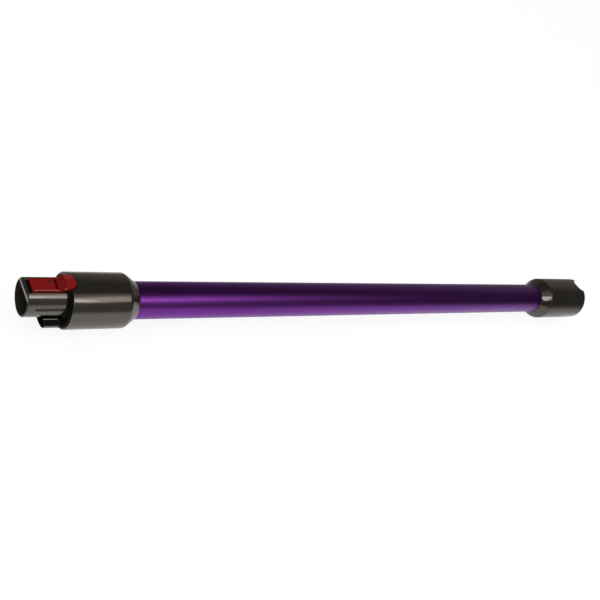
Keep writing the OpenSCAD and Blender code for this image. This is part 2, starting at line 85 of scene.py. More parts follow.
class WandSizes(bpy.types.PropertyGroup):
    collar_wall: bpy.props.FloatProperty(
        name="Collar wall", description="Wall of the collar and the cuff",
        default=0.002, min=0.001, max=0.003, unit="LENGTH")
    collar_len: bpy.props.FloatProperty(
        name="Collar length", description="Length of the collar's cylinder",
        default=0.0565, min=0.04, max=0.08, unit="LENGTH")
    cuff_len: bpy.props.FloatProperty(
        name="Cuff length", description="Length of the cuff's cylinder",
        default=0.0715, min=0.05, max=0.1, unit="LENGTH")
    cone_len: bpy.props.FloatProperty(
        name="Cone length", description="Length of the cones that run down to the tube",
        default=0.0115, min=0.008, max=0.016, unit="LENGTH")
    shoulder: bpy.props.FloatProperty(
        name="Shoulder radius", description="Rounding of the step from cylinder to cone",
        default=0.006, min=0.003, max=0.009, unit="LENGTH")
    rim_round: bpy.props.FloatProperty(
        name="Rim rounding", description="Rounding of the shells' outer rims",
        default=0.0008, min=0.0003, max=0.001, unit="LENGTH")
    notch: bpy.props.FloatProperty(
        name="Cuff notch", description="Radius of the round notch in the cuff's rim",
        default=0.01, min=0.006, max=0.014, unit="LENGTH")
    tube_wall: bpy.props.FloatProperty(
        name="Tube wall", description="Wall of the aluminium tube",
        default=0.0012, min=0.0008, max=0.002, unit="LENGTH")
    edge_round: bpy.props.FloatProperty(
        name="Edge rounding", description="Rounding of moulded edges",
        default=0.00025, min=0.0001, max=0.0005, unit="LENGTH")
    catch_round: bpy.props.FloatProperty(
        name="Catch rounding", description="Rounding of the red catch's edges",
        default=0.0006, min=0.0001, max=0.0008, unit="LENGTH")


class WandFinishes(bpy.types.PropertyGroup):
    tube: bpy.props.FloatVectorProperty(
        name="Tube", description="Colour of the anodised tube", subtype="COLOR",
        size=3, default=(0.152, 0.034, 0.262), min=0, max=1)
    shell: bpy.props.FloatVectorProperty(
        name="Shells", description="Colour of the gunmetal mouldings", subtype="COLOR",
        size=3, default=(0.112, 0.104, 0.096), min=0, max=1)
    catch: bpy.props.FloatVectorProperty(
        name="Catch", description="Colour of the release catch", subtype="COLOR",
        size=3, default=(0.195, 0.0035, 0.0025), min=0, max=1)
    nose: bpy.props.FloatVectorProperty(
        name="Connector", description="Colour of the connector", subtype="COLOR",
        size=3, default=(0.004, 0.004, 0.0035), min=0, max=1)


class StudioSettings(bpy.types.PropertyGroup):
    softbox: bpy.props.FloatProperty(
        name="Softbox", description="Brightness of the warm softbox that the gloss reflects, white being 1",
        default=1.35, min=0, max=10)
    hot_end: bpy.props.FloatProperty(
        name="Hot end", description="Brightness that the softbox's left end adds to it",
        default=3.5, min=0, max=10)
    left_softbox: bpy.props.FloatProperty(
        name="Left softbox", description="Brightness of the softbox that the cuff's cone reflects",
        default=4.0, min=0, max=10)
    ceiling: bpy.props.FloatProperty(
        name="Ceiling", description="Brightness of the dim room above, as the gloss reflects it",
        default=0.07, min=0, max=1)
    far_wall: bpy.props.FloatProperty(
        name="Far wall", description="Brightness that the wall behind the far end adds to the room",
        default=0.16, min=0, max=1)
    near_wall: bpy.props.FloatProperty(
        name="Near wall", description="Brightness that the wall before the near end adds to the room",
        default=0.14, min=0, max=1)
    skylight: bpy.props.FloatProperty(
        name="Skylight", description="Brightness of the faint glow overhead that the cones reflect",
        default=0.4, min=0, max=2)
    fill: bpy.props.FloatProperty(
        name="Fill", description="Even light from all round, white being 1",
        default=0.55, min=0, max=2)
    overhead: bpy.props.FloatProperty(
        name="Overhead", description="Brightness of the broad soft panel overhead, white being 1",
        default=1.2, min=0, max=5)
    shadow: bpy.props.FloatProperty(
        name="Floor shadow", description="How much of the object's shadow the white floor keeps",
        default=0.12, min=0, max=1)


# Mesh tools.


def new_piece(name, verts, faces):
    """A new object from points and faces, with its faces turned outward."""
    mesh = bpy.data.meshes.new(name)
    mesh.from_pydata(verts, [], faces)
    mesh.validate()
    piece = bpy.data.objects.new(name, mesh)
    bpy.context.scene.collection.objects.link(piece)
    recalculate(piece)
    return piece


def recalculate(piece):
    """Joins doubled points and turns the faces outward."""
    bm = bmesh.new()
    bm.from_mesh(piece.data)
    bmesh.ops.remove_doubles(bm, verts=bm.verts, dist=1e-7)
    bmesh.ops.recalc_face_normals(bm, faces=bm.faces)
    bm.to_mesh(piece.data)
    bm.free()


def settle(piece):
    """Turns what the modifiers make into the piece's own mesh."""
    graph = bpy.context.evaluated_depsgraph_get()
    graph.update()
    mesh = bpy.data.meshes.new_from_object(piece.evaluated_get(graph))
    piece.modifiers.clear()
    piece.data = mesh
    mesh.name = piece.name
    if not mesh.polygons:
        raise RuntimeError(piece.name + " came out empty")
    return piece


def turned(name, profile, z, steps):
    """A closed outline of (radius, x), turned about an axis along X at height z."""
    verts, faces = [], []
    n = len(profile)
    for k in range(steps):
        a = 2 * math.pi * k / steps
        for r, x in profile:
            verts.append((x, -r * math.sin(a), z + r * math.cos(a)))
    for k in range(steps):
        k2 = (k + 1) % steps
        for j in range(n):
            j2 = (j + 1) % n
            faces.append((k * n + j, k2 * n + j, k2 * n + j2, k * n + j2))
    return new_piece(name, verts, faces)


def circle(x, y, radius, steps=48):
    return [(x + radius * math.cos(2 * math.pi * k / steps),
             y + radius * math.sin(2 * math.pi * k / steps)) for k in range(steps)]


def rectangle(x0, x1, y0, y1):
    return [(x0, y0), (x1, y0), (x1, y1), (x0, y1)]


def rounded(points, radii, steps):
    """A closed 2D outline with each corner rounded by its own radius."""
    out = []
    n = len(points)
    for i, (p, r) in enumerate(zip(points, radii)):
        p = Vector(p)
        a = Vector(points[i - 1]) - p
        b = Vector(points[(i + 1) % n]) - p
        if r <= 0:
            out.append(tuple(p))
            continue
        half = a.angle(b) / 2
        t = min(r / math.tan(half), 0.49 * a.length, 0.49 * b.length)
        q = t * math.tan(half)
        start, end = p + a.normalized() * t, p + b.normalized() * t
        centre = p + (a.normalized() + b.normalized()).normalized() * (q / math.sin(half))
        u, v = start - centre, end - centre
        sweep = u.angle(v)
        for k in range(steps + 1):
            w = sweep * k / steps
            s = math.sin(sweep)
            out.append(tuple(centre + u * (math.sin(sweep - w) / s) + v * (math.sin(w) / s)))
    return out


def prism(name, outline, low, high, plane="YZ"):
    """A closed 2D outline drawn out from low to high, square to its plane."""
    n = len(outline)
    put = {
        "YZ": lambda a, b, c: (c, a, b),
        "XZ": lambda a, b, c: (a, c, b),
        "XY": lambda a, b, c: (a, b, c),
    }[plane]
    verts = [put(a, b, low) for a, b in outline] + [put(a, b, high) for a, b in outline]
    faces = [tuple(range(n)), tuple(range(2 * n - 1, n - 1, -1))]
    faces += [(i, (i + 1) % n, n + (i + 1) % n, n + i) for i in range(n)]
    return new_piece(name, verts, faces)


def carve(piece, *tools, operation="DIFFERENCE"):
    """Cuts each tool from a piece, or joins or intersects them, and deletes the tools."""
    for tool in tools:
        mod = piece.modifiers.new("carve", "BOOLEAN")
        mod.operation = operation
        mod.solver = "EXACT"
        mod.object = tool
        settle(piece)
        bpy.data.objects.remove(tool)
    return piece


def soften(piece, width, segments=3, angle=32):
    """Rounds the edges that are sharper than an angle and shades the piece smooth."""
    mod = piece.modifiers.new("soften", "BEVEL")
    mod.width = width
    mod.segments = segments
    mod.limit_method = "ANGLE"
    mod.angle_limit = math.radians(angle)
    mod.use_clamp_overlap = True
    mod.harden_normals = True
    mod.miter_outer = "MITER_ARC"
    piece.data.shade_smooth()
    return settle(piece)


def smooth_copy(node, name):
    """A copy of a CAD node with its facets joined and its faces smooth."""
    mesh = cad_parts[node].data.copy()
    piece = bpy.data.objects.new(name, mesh)
    bpy.context.scene.collection.objects.link(piece)
    mesh.materials.clear()
    bm = bmesh.new()
    bm.from_mesh(mesh)
    bmesh.ops.remove_doubles(bm, verts=bm.verts, dist=2e-6)
    bmesh.ops.dissolve_limit(bm, angle_limit=math.radians(0.4), verts=bm.verts, edges=bm.edges)
    bm.to_mesh(mesh)
    bm.free()
    if mesh.attributes.get("custom_normal"):
        mesh.attributes.remove(mesh.attributes["custom_normal"])
    mesh.shade_smooth()
    return piece


def place(piece, body, material, node):
    """Gives a finished piece its material, body and slot, and hides the CAD node that it stands for."""
    piece.data.materials.clear()
    piece.data.materials.append(material)
    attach(piece, body)
    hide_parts(node)


def place_copy(node, name, material, width, segments=2, angle=32):
    """Places a copy of a CAD node on the wand, with its edges rounded."""
    piece = soften(smooth_copy(node, name), width, segments, angle)
    place(piece, "wand", material, node)


def dress(node, material):
    """Gives a CAD node that is shown as it stands its material."""
    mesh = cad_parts[node].data
    mesh.materials.clear()
    mesh.materials.append(material)


# Node tools.


def feed(tree, node, *inputs, **sockets):
    """Fills a node's sockets, in their order or by name, with plain values or with links."""
    pairs = list(zip(node.inputs, inputs))
    pairs += [(node.inputs[key.replace("_", " ")], value) for key, value in sockets.items()]
    for socket, value in pairs:
        for source in value if isinstance(value, list) else [value]:
            if isinstance(source, bpy.types.NodeSocket):
                tree.links.new(source, socket)
            else:
                socket.default_value = source
    return node


def add(tree, kind, *inputs, **settings):
    """Adds a node. Capitalised settings are its sockets, and the others its own properties."""
    node = tree.nodes.new(kind)
    for key, value in settings.items():
        if key[0].islower():
            setattr(node, key, value)
    return feed(tree, node, *inputs, **{key: settings[key] for key in settings if key[0].isupper()})


def maths(tree, operation, *values):
    return add(tree, "ShaderNodeMath", *values, operation=operation).outputs[0]


def emptied(owner, output):
    """The node tree of a material or world, emptied but for a new output node."""
    owner.use_nodes = True
    owner.node_tree.nodes.clear()
    return owner.node_tree, add(owner.node_tree, output)


def object_position(tree):
    return add(tree, "ShaderNodeTexCoord").outputs["Object"]


def noise(tree, scale, detail, stretch=(1, 1, 1)):
    scaled = add(tree, "ShaderNodeMapping", Vector=object_position(tree), Scale=stretch)
    return add(tree, "ShaderNodeTexNoise", Vector=scaled.outputs["Vector"],
               Scale=scale, Detail=detail).outputs["Fac"]


def remap(tree, value, low, high, start=0.3, end=0.7):
    """Maps start..end, by default a noise's middle range, to low..high."""
    return add(tree, "ShaderNodeMapRange", Value=value, From_Min=start, From_Max=end,
               To_Min=low, To_Max=high).outputs["Result"]


def fade_across(tree, spot, direction, start, end, low, high):
    """A value that runs smoothly from low to high along a direction."""
    along = add(tree, "ShaderNodeVectorMath", spot, direction, operation="DOT_PRODUCT")
    return add(tree, "ShaderNodeMapRange", interpolation_type="SMOOTHSTEP",
               Value=along.outputs["Value"], From_Min=start, From_Max=end,
               To_Min=low, To_Max=high).outputs["Result"]


def tinted(tree, source, colour, low, high):
    """A colour whose brightness varies between low and high along a noise."""
    ramp = add(tree, "ShaderNodeValToRGB", Fac=source)
    for stop, position, level in zip(ramp.color_ramp.elements, (0.3, 0.7), (low, high)):
        stop.position = position
        stop.color = (*[min(1, c * level) for c in colour], 1)
    return ramp.outputs["Color"]


def bump(tree, source, depth, strength):
    return add(tree, "ShaderNodeBump", Height=source, Distance=depth,
               Strength=strength).outputs["Normal"]


def split_rays(tree, named, others, *kinds):
    """Mixes two shaders: rays of the named kinds get the first."""
    path = add(tree, "ShaderNodeLightPath").outputs
    share = path[kinds[0]]
    for kind in kinds[1:]:
        share = maths(tree, "MAXIMUM", share, path[kind])
    return add(tree, "ShaderNodeMixShader", share, others, named).outputs["Shader"]


# Materials.


def blank(name):
    """A material by its name, with its tree and shader if it is new and has to be filled."""
    mat = bpy.data.materials.get(name)
    if mat:
        return mat, None, None
    mat = bpy.data.materials.new(name)
    tree, out = emptied(mat, "ShaderNodeOutputMaterial")
    shader = add(tree, "ShaderNodeBsdfPrincipled")
    feed(tree, out, Surface=shader.outputs["BSDF"])
    return mat, tree, shader


def satin_anodising():
    """Brushed along the tube, with faint clouds in the dye."""
    mat, tree, shader = blank("satin_anodising")
    if tree:
        grain = noise(tree, 900, 3, (0.03, 1, 1))
        cloud = noise(tree, 22, 3, (0.4, 1, 1))
        colour = bpy.context.scene.wand_finishes.tube
        feed(tree, shader, Base_Color=tinted(tree, cloud, colour, 0.94, 1.06),
             Roughness=remap(tree, grain, 0.30, 0.37), Metallic=1.0,
             Normal=bump(tree, grain, 0.000004, 0.6))
    return mat


def gunmetal_gloss():
    """Metal flake under gloss; the spigot's bore and parting grooves are rougher and less metallic, and
    painted shade darkens their colour.
    """
    mat, tree, shader = blank("gunmetal_gloss")
    if tree:
        flake = noise(tree, 2600, 2)
        wave = noise(tree, 60, 2)
        spot = object_position(tree)
        section = add(tree, "ShaderNodeVectorMath", spot, (0.0, 1.0, 1.0), operation="MULTIPLY")
        radius = add(tree, "ShaderNodeVectorMath", section.outputs["Vector"], operation="LENGTH")
        # The bore and grooves, under the skin and below the catch, where shade is painted in
        under_skin = remap(tree, radius.outputs["Value"], 1.0, 0.0, 0.0171, 0.0173)
        under_catch = fade_across(tree, spot, (0.0, 0.0, 1.0), 0.0070, 0.0078, 1.0, 0.0)
        shaded_recess = maths(tree, "MULTIPLY", under_skin, under_catch)
        colour = tinted(tree, flake, bpy.context.scene.wand_finishes.shell, 0.9, 1.12)
        # Painted shade: in the bore and grooves the colour drops to 0.35 of its own
        shade = add(tree, "ShaderNodeVectorMath", colour, operation="SCALE",
                    Scale=remap(tree, shaded_recess, 1.0, 0.35, 0.0, 1.0))
        rough = maths(tree, "ADD", remap(tree, wave, 0.12, 0.17),
                      remap(tree, shaded_recess, 0.0, 0.35, 0.0, 1.0))
        feed(tree, shader, Base_Color=shade.outputs["Vector"], Roughness=rough,
             Metallic=remap(tree, shaded_recess, 0.92, 0.25, 0.0, 1.0), IOR=1.5,
             Normal=bump(tree, wave, 0.00002, 0.25))
    return mat


def red_gloss():
    """Glossy moulded plastic with a little light in it."""
    mat, tree, shader = blank("red_gloss")
    if tree:
        cloud = noise(tree, 90, 3)
        wave = noise(tree, 140, 2)
        colour = bpy.context.scene.wand_finishes.catch
        feed(tree, shader, Base_Color=tinted(tree, cloud, colour, 0.86, 1.08),
             Roughness=remap(tree, wave, 0.12, 0.2), IOR=1.52, Subsurface_Weight=0.08,
             Subsurface_Radius=(0.002, 0.0004, 0.0003), Normal=bump(tree, wave, 0.00004, 0.3))
    return mat


def black_gloss():
    """Reflection set by place as painted light: full on the nose's top edge and belly for their glint and
    bright band, turned down on its flat faces as painted shade, matt on the bulkhead.
    """
    mat, tree, shader = blank("black_gloss")
    if tree:
        wave = noise(tree, 110, 2)
        spot = object_position(tree)
        down = (0.0, 0.0, -1.0)
        bulkhead = fade_across(tree, spot, (1.0, 0.0, 0.0), 0.0335, 0.0345, 0.0, 1.0)
        belly = fade_across(tree, spot, down, 0.0179, 0.0181, 0.0, 0.9)
        top_edge = fade_across(tree, spot, down, 0.0128, 0.0130, 1.0, 0.12)
        top_face = fade_across(tree, spot, down, 0.01221, 0.01226, 0.1, 1.0)
        end_face = fade_across(tree, spot, (1.0, 0.0, 0.2), 0.0161, 0.0165, 0.0, 1.0)
        # Specular level by place: painted highlights on the top edge and belly, painted shade on the top and
        # end faces
        painted_reflection = maths(tree, "ADD", belly, top_edge)
        for face in (top_face, end_face):
            painted_reflection = maths(tree, "MULTIPLY", painted_reflection, face)
        colour = bpy.context.scene.wand_finishes.nose
        feed(tree, shader, Base_Color=tinted(tree, wave, colour, 0.8, 1.3), IOR=1.52,
             Roughness=remap(tree, bulkhead, 0.1, 0.6, 0.0, 1.0),
             Specular_IOR_Level=remap(tree, bulkhead, painted_reflection, 0.08, 0.0, 1.0),
             Normal=bump(tree, wave, 0.00003, 0.3))
    return mat


def grained(name, colour, grain, tint, rough, metallic=0.0, relief=None):
    """A material whose colour, roughness and relief follow one noise."""
    mat, tree, shader = blank(name)
    if tree:
        source = noise(tree, *grain)
        feed(tree, shader, Base_Color=tinted(tree, source, colour, *tint),
             Roughness=remap(tree, source, *rough), Metallic=metallic)
        if relief:
            feed(tree, shader, Normal=bump(tree, source, *relief))
    return mat


def black_moulding():
    return grained("black_moulding", (0.018, 0.018, 0.019), grain=(3500, 3), tint=(0.7, 1.5),
                   rough=(0.42, 0.6), relief=(0.00002, 0.5))


def soft_rubber():
    return grained("soft_rubber", (0.02, 0.02, 0.02), grain=(1800, 4), tint=(0.7, 1.5),
                   rough=(0.6, 0.8), relief=(0.00003, 0.5))


def turned_brass():
    return grained("turned_brass", (0.78, 0.56, 0.24), grain=(4000, 2, (1, 0.05, 0.05)),
                   tint=(0.9, 1.1), rough=(0.2, 0.34), metallic=1.0)


def plated_steel():
    return grained("plated_steel", (0.58, 0.58, 0.6), grain=(500, 3), tint=(0.85, 1.1),
                   rough=(0.24, 0.4), metallic=1.0)


def wire_sleeve(name, colour):
    return grained(name, colour, grain=(900, 2, (0.1, 1, 1)), tint=(0.85, 1.15), rough=(0.4, 0.55))


# Geometry node trees.


def node_tree(name, inputs):
    """A new geometry node tree with named inputs, (name, socket type, default), and a material."""
    tree = bpy.data.node_groups.new(name, "GeometryNodeTree")
    for label, kind, value in inputs:
        socket = tree.interface.new_socket(name=label, in_out="INPUT", socket_type="NodeSocket" + kind)
        if value is not None:
            socket.default_value = value
    tree.interface.new_socket(name="Material", in_out="INPUT", socket_type="NodeSocketMaterial")
    tree.interface.new_socket(name="Geometry", in_out="OUTPUT", socket_type="NodeSocketGeometry")
    tree.nodes.new("NodeGroupOutput")
    return tree, tree.nodes.new("NodeGroupInput").outputs


def close_tree(tree, geometry):
    """Ends a tree in Realize Instances and Set Material."""
    real = add(tree, "GeometryNodeRealizeInstances", Geometry=geometry)
    paint = add(tree, "GeometryNodeSetMaterial", Geometry=real.outputs["Geometry"],
                Material=tree.nodes["Group Input"].outputs["Material"])
    feed(tree, tree.nodes["Group Output"], Geometry=paint.outputs["Geometry"])
    return tree


def run_nodes(name, tree, material, values):
    """Runs a tree on a new, empty piece and keeps the mesh that it makes."""
    piece = bpy.data.objects.new(name, bpy.data.meshes.new(name))
    bpy.context.scene.collection.objects.link(piece)
    mod = piece.modifiers.new("nodes", "NODES")
    mod.node_group = tree
    sockets = {item.name: item.identifier for item in tree.interface.items_tree
               if item.item_type == "SOCKET" and item.in_out == "INPUT"}
    mod[sockets["Material"]] = material
    for label, value in values.items():
        mod[sockets[label]] = value
    settle(piece)
    recalculate(piece)
    piece.data.shade_smooth()
    return piece


def tube_tree():
    """A hollow tube: a rounded wall section swept round a circle, then laid along X."""
    tree, given = node_tree("wand_tube_tree", [
        ("Outer radius", "Float", 0.018), ("Wall", "Float", 0.0012), ("Length", "Float", 0.648),
        ("Centre", "Vector", None), ("Rim rounding", "Float", 0.0002)])
    middle = maths(tree, "MULTIPLY_ADD", given["Wall"], -0.5, given["Outer radius"])
    ring = add(tree, "GeometryNodeCurvePrimitiveCircle", Resolution=192, Radius=middle)
    wall = add(tree, "GeometryNodeCurvePrimitiveQuadrilateral",
               Width=given["Wall"], Height=given["Length"])
    fillet = add(tree, "GeometryNodeFilletCurve", mode="POLY", Count=4,
                 Curve=wall.outputs["Curve"], Radius=given["Rim rounding"])
    sweep = add(tree, "GeometryNodeCurveToMesh", Curve=ring.outputs["Curve"],
                Profile_Curve=fillet.outputs["Curve"])
    lay = add(tree, "GeometryNodeTransform", Geometry=sweep.outputs["Mesh"],
              Rotation=(0, math.pi / 2, 0))
    move = add(tree, "GeometryNodeTransform", Geometry=lay.outputs["Geometry"],
               Translation=given["Centre"])
    return close_tree(tree, move.outputs["Geometry"])


def spring_tree():
    """A coil spring: a round wire swept along a helix that stands upright."""
    tree, given = node_tree("catch_spring_tree", [
        ("Coil radius", "Float", 0.0026), ("Height", "Float", 0.0081), ("Turns", "Float", 6.0),
        ("Wire radius", "Float", 0.0003), ("Foot", "Vector", None)])
    helix = add(tree, "GeometryNodeCurveSpiral", Resolution=40, Rotations=given["Turns"],
                Start_Radius=given["Coil radius"], End_Radius=given["Coil radius"],
                Height=given["Height"])
    wire = add(tree, "GeometryNodeCurvePrimitiveCircle", Resolution=12, Radius=given["Wire radius"])
    sweep = add(tree, "GeometryNodeCurveToMesh", Curve=helix.outputs["Curve"],
                Profile_Curve=wire.outputs["Curve"], Fill_Caps=True)
    move = add(tree, "GeometryNodeTransform", Geometry=sweep.outputs["Mesh"],
               Translation=given["Foot"])
    return close_tree(tree, move.outputs["Geometry"])


def fastener_tree():
    """Screws or rivets: a shank and a tapered head, set out along a line and turned step by step."""
    tree, given = node_tree("fastener_tree", [
        ("Shank radius", "Float", 0.0012), ("Shank length", "Float", 0.01), ("Base", "Float", 0.0),
        ("Head radius", "Float", 0.0021), ("Head top radius", "Float", 0.0017),
        ("Head height", "Float", 0.0017), ("Recess", "Float", 0.0024), ("Has recess", "Bool", True),
        ("Start", "Vector", None), ("Step", "Vector", None),
        ("First turn", "Vector", None), ("Turn step", "Vector", None)])

    def lifted(geometry, height):
        lift = add(tree, "ShaderNodeCombineXYZ", Z=height)
        return add(tree, "GeometryNodeTransform", Geometry=geometry,
                   Translation=lift.outputs[0]).outputs[0]

    shank = add(tree, "GeometryNodeMeshCone", Vertices=32, Radius_Top=given["Shank radius"],
                Radius_Bottom=given["Shank radius"], Depth=given["Shank length"])
    head = add(tree, "GeometryNodeMeshCone", Vertices=48, Radius_Top=given["Head top radius"],
               Radius_Bottom=given["Head radius"], Depth=given["Head height"])
    arms = []
    for across, along in ((1.0, 0.25), (0.25, 1.0)):
        size = add(tree, "ShaderNodeCombineXYZ", X=maths(tree, "MULTIPLY", given["Recess"], across),
                   Y=maths(tree, "MULTIPLY", given["Recess"], along), Z=given["Recess"])
        cube = add(tree, "GeometryNodeMeshCube", Size=size.outputs[0])
        arms.append(lifted(cube.outputs["Mesh"], maths(tree, "MULTIPLY", given["Recess"], 0.8)))
    cut = add(tree, "GeometryNodeMeshBoolean", operation="DIFFERENCE", solver="EXACT",
              Mesh_1=head.outputs["Mesh"], Mesh_2=arms)
    choose = add(tree, "GeometryNodeSwitch", input_type="GEOMETRY", Switch=given["Has recess"],
                 **{"False": head.outputs["Mesh"], "True": cut.outputs["Mesh"]})
    top = maths(tree, "ADD", given["Base"], given["Shank length"])
    whole = add(tree, "GeometryNodeJoinGeometry", Geometry=[
        lifted(shank.outputs["Mesh"], given["Base"]), lifted(choose.outputs["Output"], top)])
    line = add(tree, "GeometryNodeMeshLine", Count=2, Start_Location=given["Start"],
               Offset=given["Step"])
    order = add(tree, "GeometryNodeInputIndex")
    turn = add(tree, "ShaderNodeVectorMath", given["Turn step"], order.outputs["Index"],
               given["First turn"], operation="MULTIPLY_ADD")
    copies = add(tree, "GeometryNodeInstanceOnPoints", Points=line.outputs["Mesh"],
                 Instance=whole.outputs["Geometry"], Rotation=turn.outputs["Vector"])
    return close_tree(tree, copies.outputs["Instances"])


# Building steps.


class WAND_OT_tube(bpy.types.Operator):
    """Builds the anodised tube"""

    bl_idname = "wand.tube"
    bl_label = "Tube"

    def execute(self, context):
        low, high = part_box("wand_tube")
        piece = run_nodes("tube", tube_tree(), satin_anodising(), {
            "Outer radius": TUBE_R, "Wall": context.scene.wand_sizes.tube_wall,
            "Length": high.x - low.x, "Centre": ((low.x + high.x) / 2, 0.0, -TUBE_DROP),
            "Rim rounding": 0.0002})
        place(piece, "wand", satin_anodising(), "wand_tube")
        return {"FINISHED"}


def shell_outline(sizes, length):
    """Half section of the collar or cuff: (radius, distance from its rim)."""
    inner = COLLAR_R - sizes.collar_wall
    foot = TUBE_R + 0.0004
    bore = TUBE_R + 0.0001
    end = length + sizes.cone_len
    points = [(inner, 0.0), (COLLAR_R, 0.0), (COLLAR_R, length), (foot, end),
              (bore, end), (bore, end - 0.004), (inner, length - 0.0015)]
    radii = [0.0003, sizes.rim_round, sizes.shoulder, 0.0002, 0.0001, 0, 0]
    return rounded(points, radii, 8)


def pad_plan(half, rear, *front):
    """Plan of the thumb pad or its gap: points at the front, then the stepped rear, mirrored."""
    plan = [*front, (rear - 0.0032, -half), (rear - 0.0004, -half * 0.66), (rear, -half * 0.4)]
    return plan + [(x, -y) for x, y in reversed(plan)]


class WAND_OT_shells(bpy.types.Operator):
    """Builds the collar and the cuff"""

    bl_idname = "wand.shells"
    bl_label = "Collar and cuff"

    def execute(self, context):
        sizes = context.scene.wand_sizes
        half = PAD_HALF + PAD_GAP
        cuts = {
            "collar": ("pad_gap", pad_plan(half, PAD_REAR + PAD_GAP, (0.02, -half)), 0.0105),
            "cuff": ("notch_drill", circle(WAND_LEN, 0.0, sizes.notch, 128), 0.009)}
        for node, length, rim, way in (("collar", sizes.collar_len, SPIGOT_LEN, 1),
                                       ("cuff", sizes.cuff_len, WAND_LEN, -1)):
            outline = [(r, rim + way * x) for r, x in shell_outline(sizes, length)]
            shell = turned(node + "_shell", outline, -TUBE_DROP, 192)
            name, plan, low = cuts[node]
            carve(shell, prism(name, plan, low, 0.04, "XY"))
            soften(shell, sizes.edge_round)
            place(shell, "wand", gunmetal_gloss(), node)
        return {"FINISHED"}


class WAND_OT_spigot(bpy.types.Operator):
    """Builds the spigot moulding and its hinge pin"""

    bl_idname = "wand.spigot"
    bl_label = "Spigot"

    def execute(self, context):
        piece = smooth_copy("spigot", "spigot_body")
        for low, high in ((-0.0185, -0.0167), (0.0167, 0.0185)):
            groove = rectangle(low, high, 0.0001, 0.0034)
            carve(piece, prism("groove", groove, 0.008, 0.0366))
        soften(piece, context.scene.wand_sizes.edge_round, 3, 35)
        place(piece, "wand", gunmetal_gloss(), "spigot")
        place_copy("catch_pin", "hinge_pin", plated_steel(), 0.0002)
        return {"FINISHED"}


def latch_body(sizes):
    """The red latch: tongue with its keeper slot, ramp, thumb pad, arm and hinge boss."""
    front, ramp_x, arm_x, rib_x = 0.0045, 0.0295, 0.0382, 0.0412
    half, arm_half, inner = 0.0075, 0.0045, 0.0059
    web_top, ramp_slope = 0.0197, 0.79

    def under(x):
        return 0.0085 + (HINGE_X - x) * math.tan(HINGE_TURN)

    ramp_end = ramp_x + ramp_slope * (web_top - CATCH_TOP)
    side = rounded([(front, under(front)), (front, CATCH_TOP), (ramp_x, CATCH_TOP),
                    (ramp_end, web_top), (arm_x, web_top), (arm_x, under(arm_x))],
                   [0.0003, 0.0009, 0.0012, 0, 0, 0], 6)
    piece = prism("latch", side, -half, half, "XZ")
    chamfer, clear = 0.0003, 0.001
    for way in (-1, 1):
        edge = [(way * (half + clear), CATCH_TOP - clear - chamfer),
                (way * (half + clear), CATCH_TOP + clear),
                (way * (half - clear - chamfer), CATCH_TOP + clear)]
        carve(piece, prism("edge", edge, 0.0, ramp_x - 0.0005))

    plan = pad_plan(PAD_HALF, PAD_REAR, (ramp_x - 0.0005, -half), (ramp_x + 0.0035, -PAD_HALF))
    pad = prism("pad", plan, 0.0129, 0.03, "XY")
    crown, hidden = COLLAR_R - 0.0001, COLLAR_R - 0.0025
    ring = turned("ring", [(crown, 0.02), (crown, 0.05), (hidden, 0.05), (hidden, 0.02)],
                  -TUBE_DROP, 240)
    rise = 0.008
    wedge = prism("wedge", [(ramp_x, CATCH_TOP), (ramp_x + ramp_slope * rise, CATCH_TOP + rise),
                            (0.05, CATCH_TOP + rise), (0.05, CATCH_TOP - 0.003),
                            (ramp_x, CATCH_TOP - 0.003)], -0.02, 0.02, "XZ")
    carve(pad, ring, wedge, operation="INTERSECT")

    lap, rib_top, rib_low = arm_x - 0.001, HINGE_Z + 0.0015, HINGE_Z - 0.001
    rib = prism("rib", [(lap, under(arm_x)), (lap, web_top), (rib_x, web_top), (rib_x, rib_top),
                        (HINGE_X, rib_top), (HINGE_X, rib_low), (rib_x, rib_low),
                        (arm_x + 0.0005, under(arm_x))], -arm_half, arm_half, "XZ")
    boss = prism("boss", circle(HINGE_X, HINGE_Z, 0.00225), -arm_half, arm_half, "XZ")
    carve(piece, pad, rib, boss, operation="UNION")

    keeper_slot = rounded(rectangle(0.02, 0.0283, -inner, inner), [0.0006] * 4, 4)
    hook_hollow = rectangle(0.0063, 0.0182, -inner, inner)
    carve(piece, prism("slot", keeper_slot, 0.0127, 0.03, "XY"),
          prism("hollow", hook_hollow, 0.0, CATCH_TOP - 0.0018, "XY"),
          prism("seat", circle(SPRING_X, 0.0, 0.0037), 0.0, 0.017, "XY"),
          prism("hole", circle(HINGE_X, HINGE_Z, 0.0013), -2 * arm_half, 2 * arm_half, "XZ"))
    return soften(piece, sizes.catch_round, 3, 35)


class WAND_OT_catch(bpy.types.Operator):
    """Builds the red release catch and its spring"""

    bl_idname = "wand.catch"
    bl_label = "Release catch"

    def execute(self, context):
        piece = latch_body(context.scene.wand_sizes)
        place(piece, "catch", red_gloss(), "release_catch")
        low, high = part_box("catch_spring")
        wire = 0.0003
        spring = run_nodes("return_spring", spring_tree(), plated_steel(), {
            "Coil radius": (high.x - low.x) / 2 - wire, "Height": high.z - low.z - 2 * wire,
            "Turns": 6.0, "Wire radius": wire, "Foot": ((low.x + high.x) / 2, 0.0, low.z + wire)})
        place(spring, "wand", plated_steel(), "catch_spring")
        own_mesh(spring)
        return {"FINISHED"}


